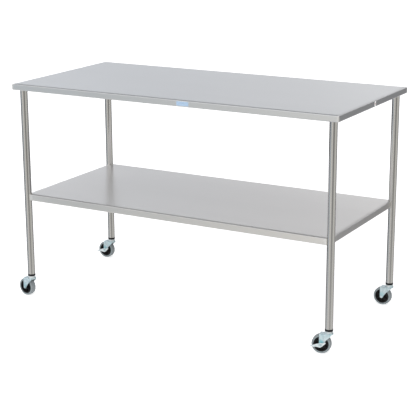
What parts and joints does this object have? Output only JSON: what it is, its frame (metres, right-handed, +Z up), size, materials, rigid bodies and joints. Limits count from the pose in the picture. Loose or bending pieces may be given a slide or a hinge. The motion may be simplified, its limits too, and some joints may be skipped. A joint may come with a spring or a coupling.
{
  "type": "stainless steel work table on casters",
  "caption": "Flat stainless steel work table with turned-down edges, round tube legs, a lower shelf and swivel casters, some with brake levers.",
  "frame": {"origin": "on the floor under the middle of the whole object's box; the casters trail past the left end, so the middle of the top is 17.8 mm to +X of it", "axes": "+X along the table's length, towards the right-hand end; +Y to its back; +Z up"},
  "size_m": [1.5598, 0.7239, 0.965],
  "materials": {
    "brushed_sheet": "brushed along the length, number 4 finish",
    "satin_tube": "satin tube",
    "mill_steel": "plain mill finish",
    "caster_steel": "bright plated",
    "zinc": "blue-passivated zinc plate",
    "black_plastic": "moulded, slightly shiny",
    "black_rubber": "matt moulded rubber",
    "grey_tread": "matt grey rubber",
    "blue_label": "blank printed label",
    "white_label": "blank paper sticker"
  },
  "bodies": {
    "table": {"table_top": "brushed_sheet", "shelf": "brushed_sheet", "top_channel_front": "mill_steel", "top_channel_back": "mill_steel", "shelf_channel": "mill_steel", "maker_plate": "blue_label", "end_sticker": "white_label", "leg_front_left": "satin_tube", "leg_socket_front_left": "mill_steel", "caster_sleeve_front_left": "black_rubber", "caster_stem_front_left": "caster_steel", "upper_race_front_left": "caster_steel", "leg_front_right": "satin_tube", "leg_socket_front_right": "mill_steel", "caster_sleeve_front_right": "black_rubber", "caster_stem_front_right": "caster_steel", "upper_race_front_right": "caster_steel", "leg_back_left": "satin_tube", "leg_socket_back_left": "mill_steel", "caster_sleeve_back_left": "black_rubber", "caster_stem_back_left": "caster_steel", "upper_race_back_left": "caster_steel", "leg_back_right": "satin_tube", "leg_socket_back_right": "mill_steel", "caster_sleeve_back_right": "black_rubber", "caster_stem_back_right": "caster_steel", "upper_race_back_right": "caster_steel"},
    "swivel_front_left": {"ball_ring_front_left": "caster_steel", "fork_front_left": "zinc", "wheel_bush_front_left": "caster_steel", "axle_bolt_front_left": "zinc", "axle_nut_front_left": "zinc"},
    "wheel_front_left": {"wheel_core_front_left": "black_plastic", "tyre_front_left": "grey_tread"},
    "swivel_front_right": {"ball_ring_front_right": "caster_steel", "fork_front_right": "zinc", "wheel_bush_front_right": "caster_steel", "axle_bolt_front_right": "zinc", "axle_nut_front_right": "zinc", "brake_cam_front_right": "caster_steel"},
    "wheel_front_right": {"wheel_core_front_right": "black_plastic", "tyre_front_right": "grey_tread"},
    "brake_front_right": {"brake_lever_front_right": "zinc"},
    "swivel_back_left": {"ball_ring_back_left": "caster_steel", "fork_back_left": "zinc", "wheel_bush_back_left": "caster_steel", "axle_bolt_back_left": "zinc", "axle_nut_back_left": "zinc", "brake_cam_back_left": "caster_steel"},
    "wheel_back_left": {"wheel_core_back_left": "black_plastic", "tyre_back_left": "grey_tread"},
    "brake_back_left": {"brake_lever_back_left": "zinc"},
    "swivel_back_right": {"ball_ring_back_right": "caster_steel", "fork_back_right": "zinc", "wheel_bush_back_right": "caster_steel", "axle_bolt_back_right": "zinc", "axle_nut_back_right": "zinc"},
    "wheel_back_right": {"wheel_core_back_right": "black_plastic", "tyre_back_right": "grey_tread"}
  },
  "joints": [
    {"name": "swivel_front_left_turn", "type": "hinge", "parent": "table", "child": "swivel_front_left", "pos_m": [-0.70825, -0.324, 0.0806], "axis": [0, 0, 1], "continuous": true},
    {"name": "wheel_front_left_spin", "type": "hinge", "parent": "swivel_front_left", "child": "wheel_front_left", "pos_m": [-0.73647, -0.32003, 0.0395], "axis": [0.1392, 0.9903, 0], "continuous": true},
    {"name": "swivel_front_right_turn", "type": "hinge", "parent": "table", "child": "swivel_front_right", "pos_m": [0.74375, -0.324, 0.0806], "axis": [0, 0, 1], "continuous": true},
    {"name": "wheel_front_right_spin", "type": "hinge", "parent": "swivel_front_right", "child": "wheel_front_right", "pos_m": [0.71577, -0.32944, 0.0395], "axis": [-0.1908, 0.9816, 0], "continuous": true},
    {"name": "brake_front_right_press", "type": "hinge", "parent": "swivel_front_right", "child": "brake_front_right", "pos_m": [0.71577, -0.32944, 0.0395], "axis": [0.1908, -0.9816, 0], "range_deg": [0, 25]},
    {"name": "swivel_back_left_turn", "type": "hinge", "parent": "table", "child": "swivel_back_left", "pos_m": [-0.70825, 0.324, 0.0806], "axis": [0, 0, 1], "continuous": true},
    {"name": "wheel_back_left_spin", "type": "hinge", "parent": "swivel_back_left", "child": "wheel_back_left", "pos_m": [-0.73675, 0.324, 0.0395], "axis": [0, 1, 0], "continuous": true},
    {"name": "brake_back_left_press", "type": "hinge", "parent": "swivel_back_left", "child": "brake_back_left", "pos_m": [-0.73675, 0.324, 0.0395], "axis": [0, -1, 0], "range_deg": [0, 25]},
    {"name": "swivel_back_right_turn", "type": "hinge", "parent": "table", "child": "swivel_back_right", "pos_m": [0.74375, 0.324, 0.0806], "axis": [0, 0, 1], "continuous": true},
    {"name": "wheel_back_right_spin", "type": "hinge", "parent": "swivel_back_right", "child": "wheel_back_right", "pos_m": [0.71525, 0.324, 0.0395], "axis": [0, 1, 0], "continuous": true}
  ]
}
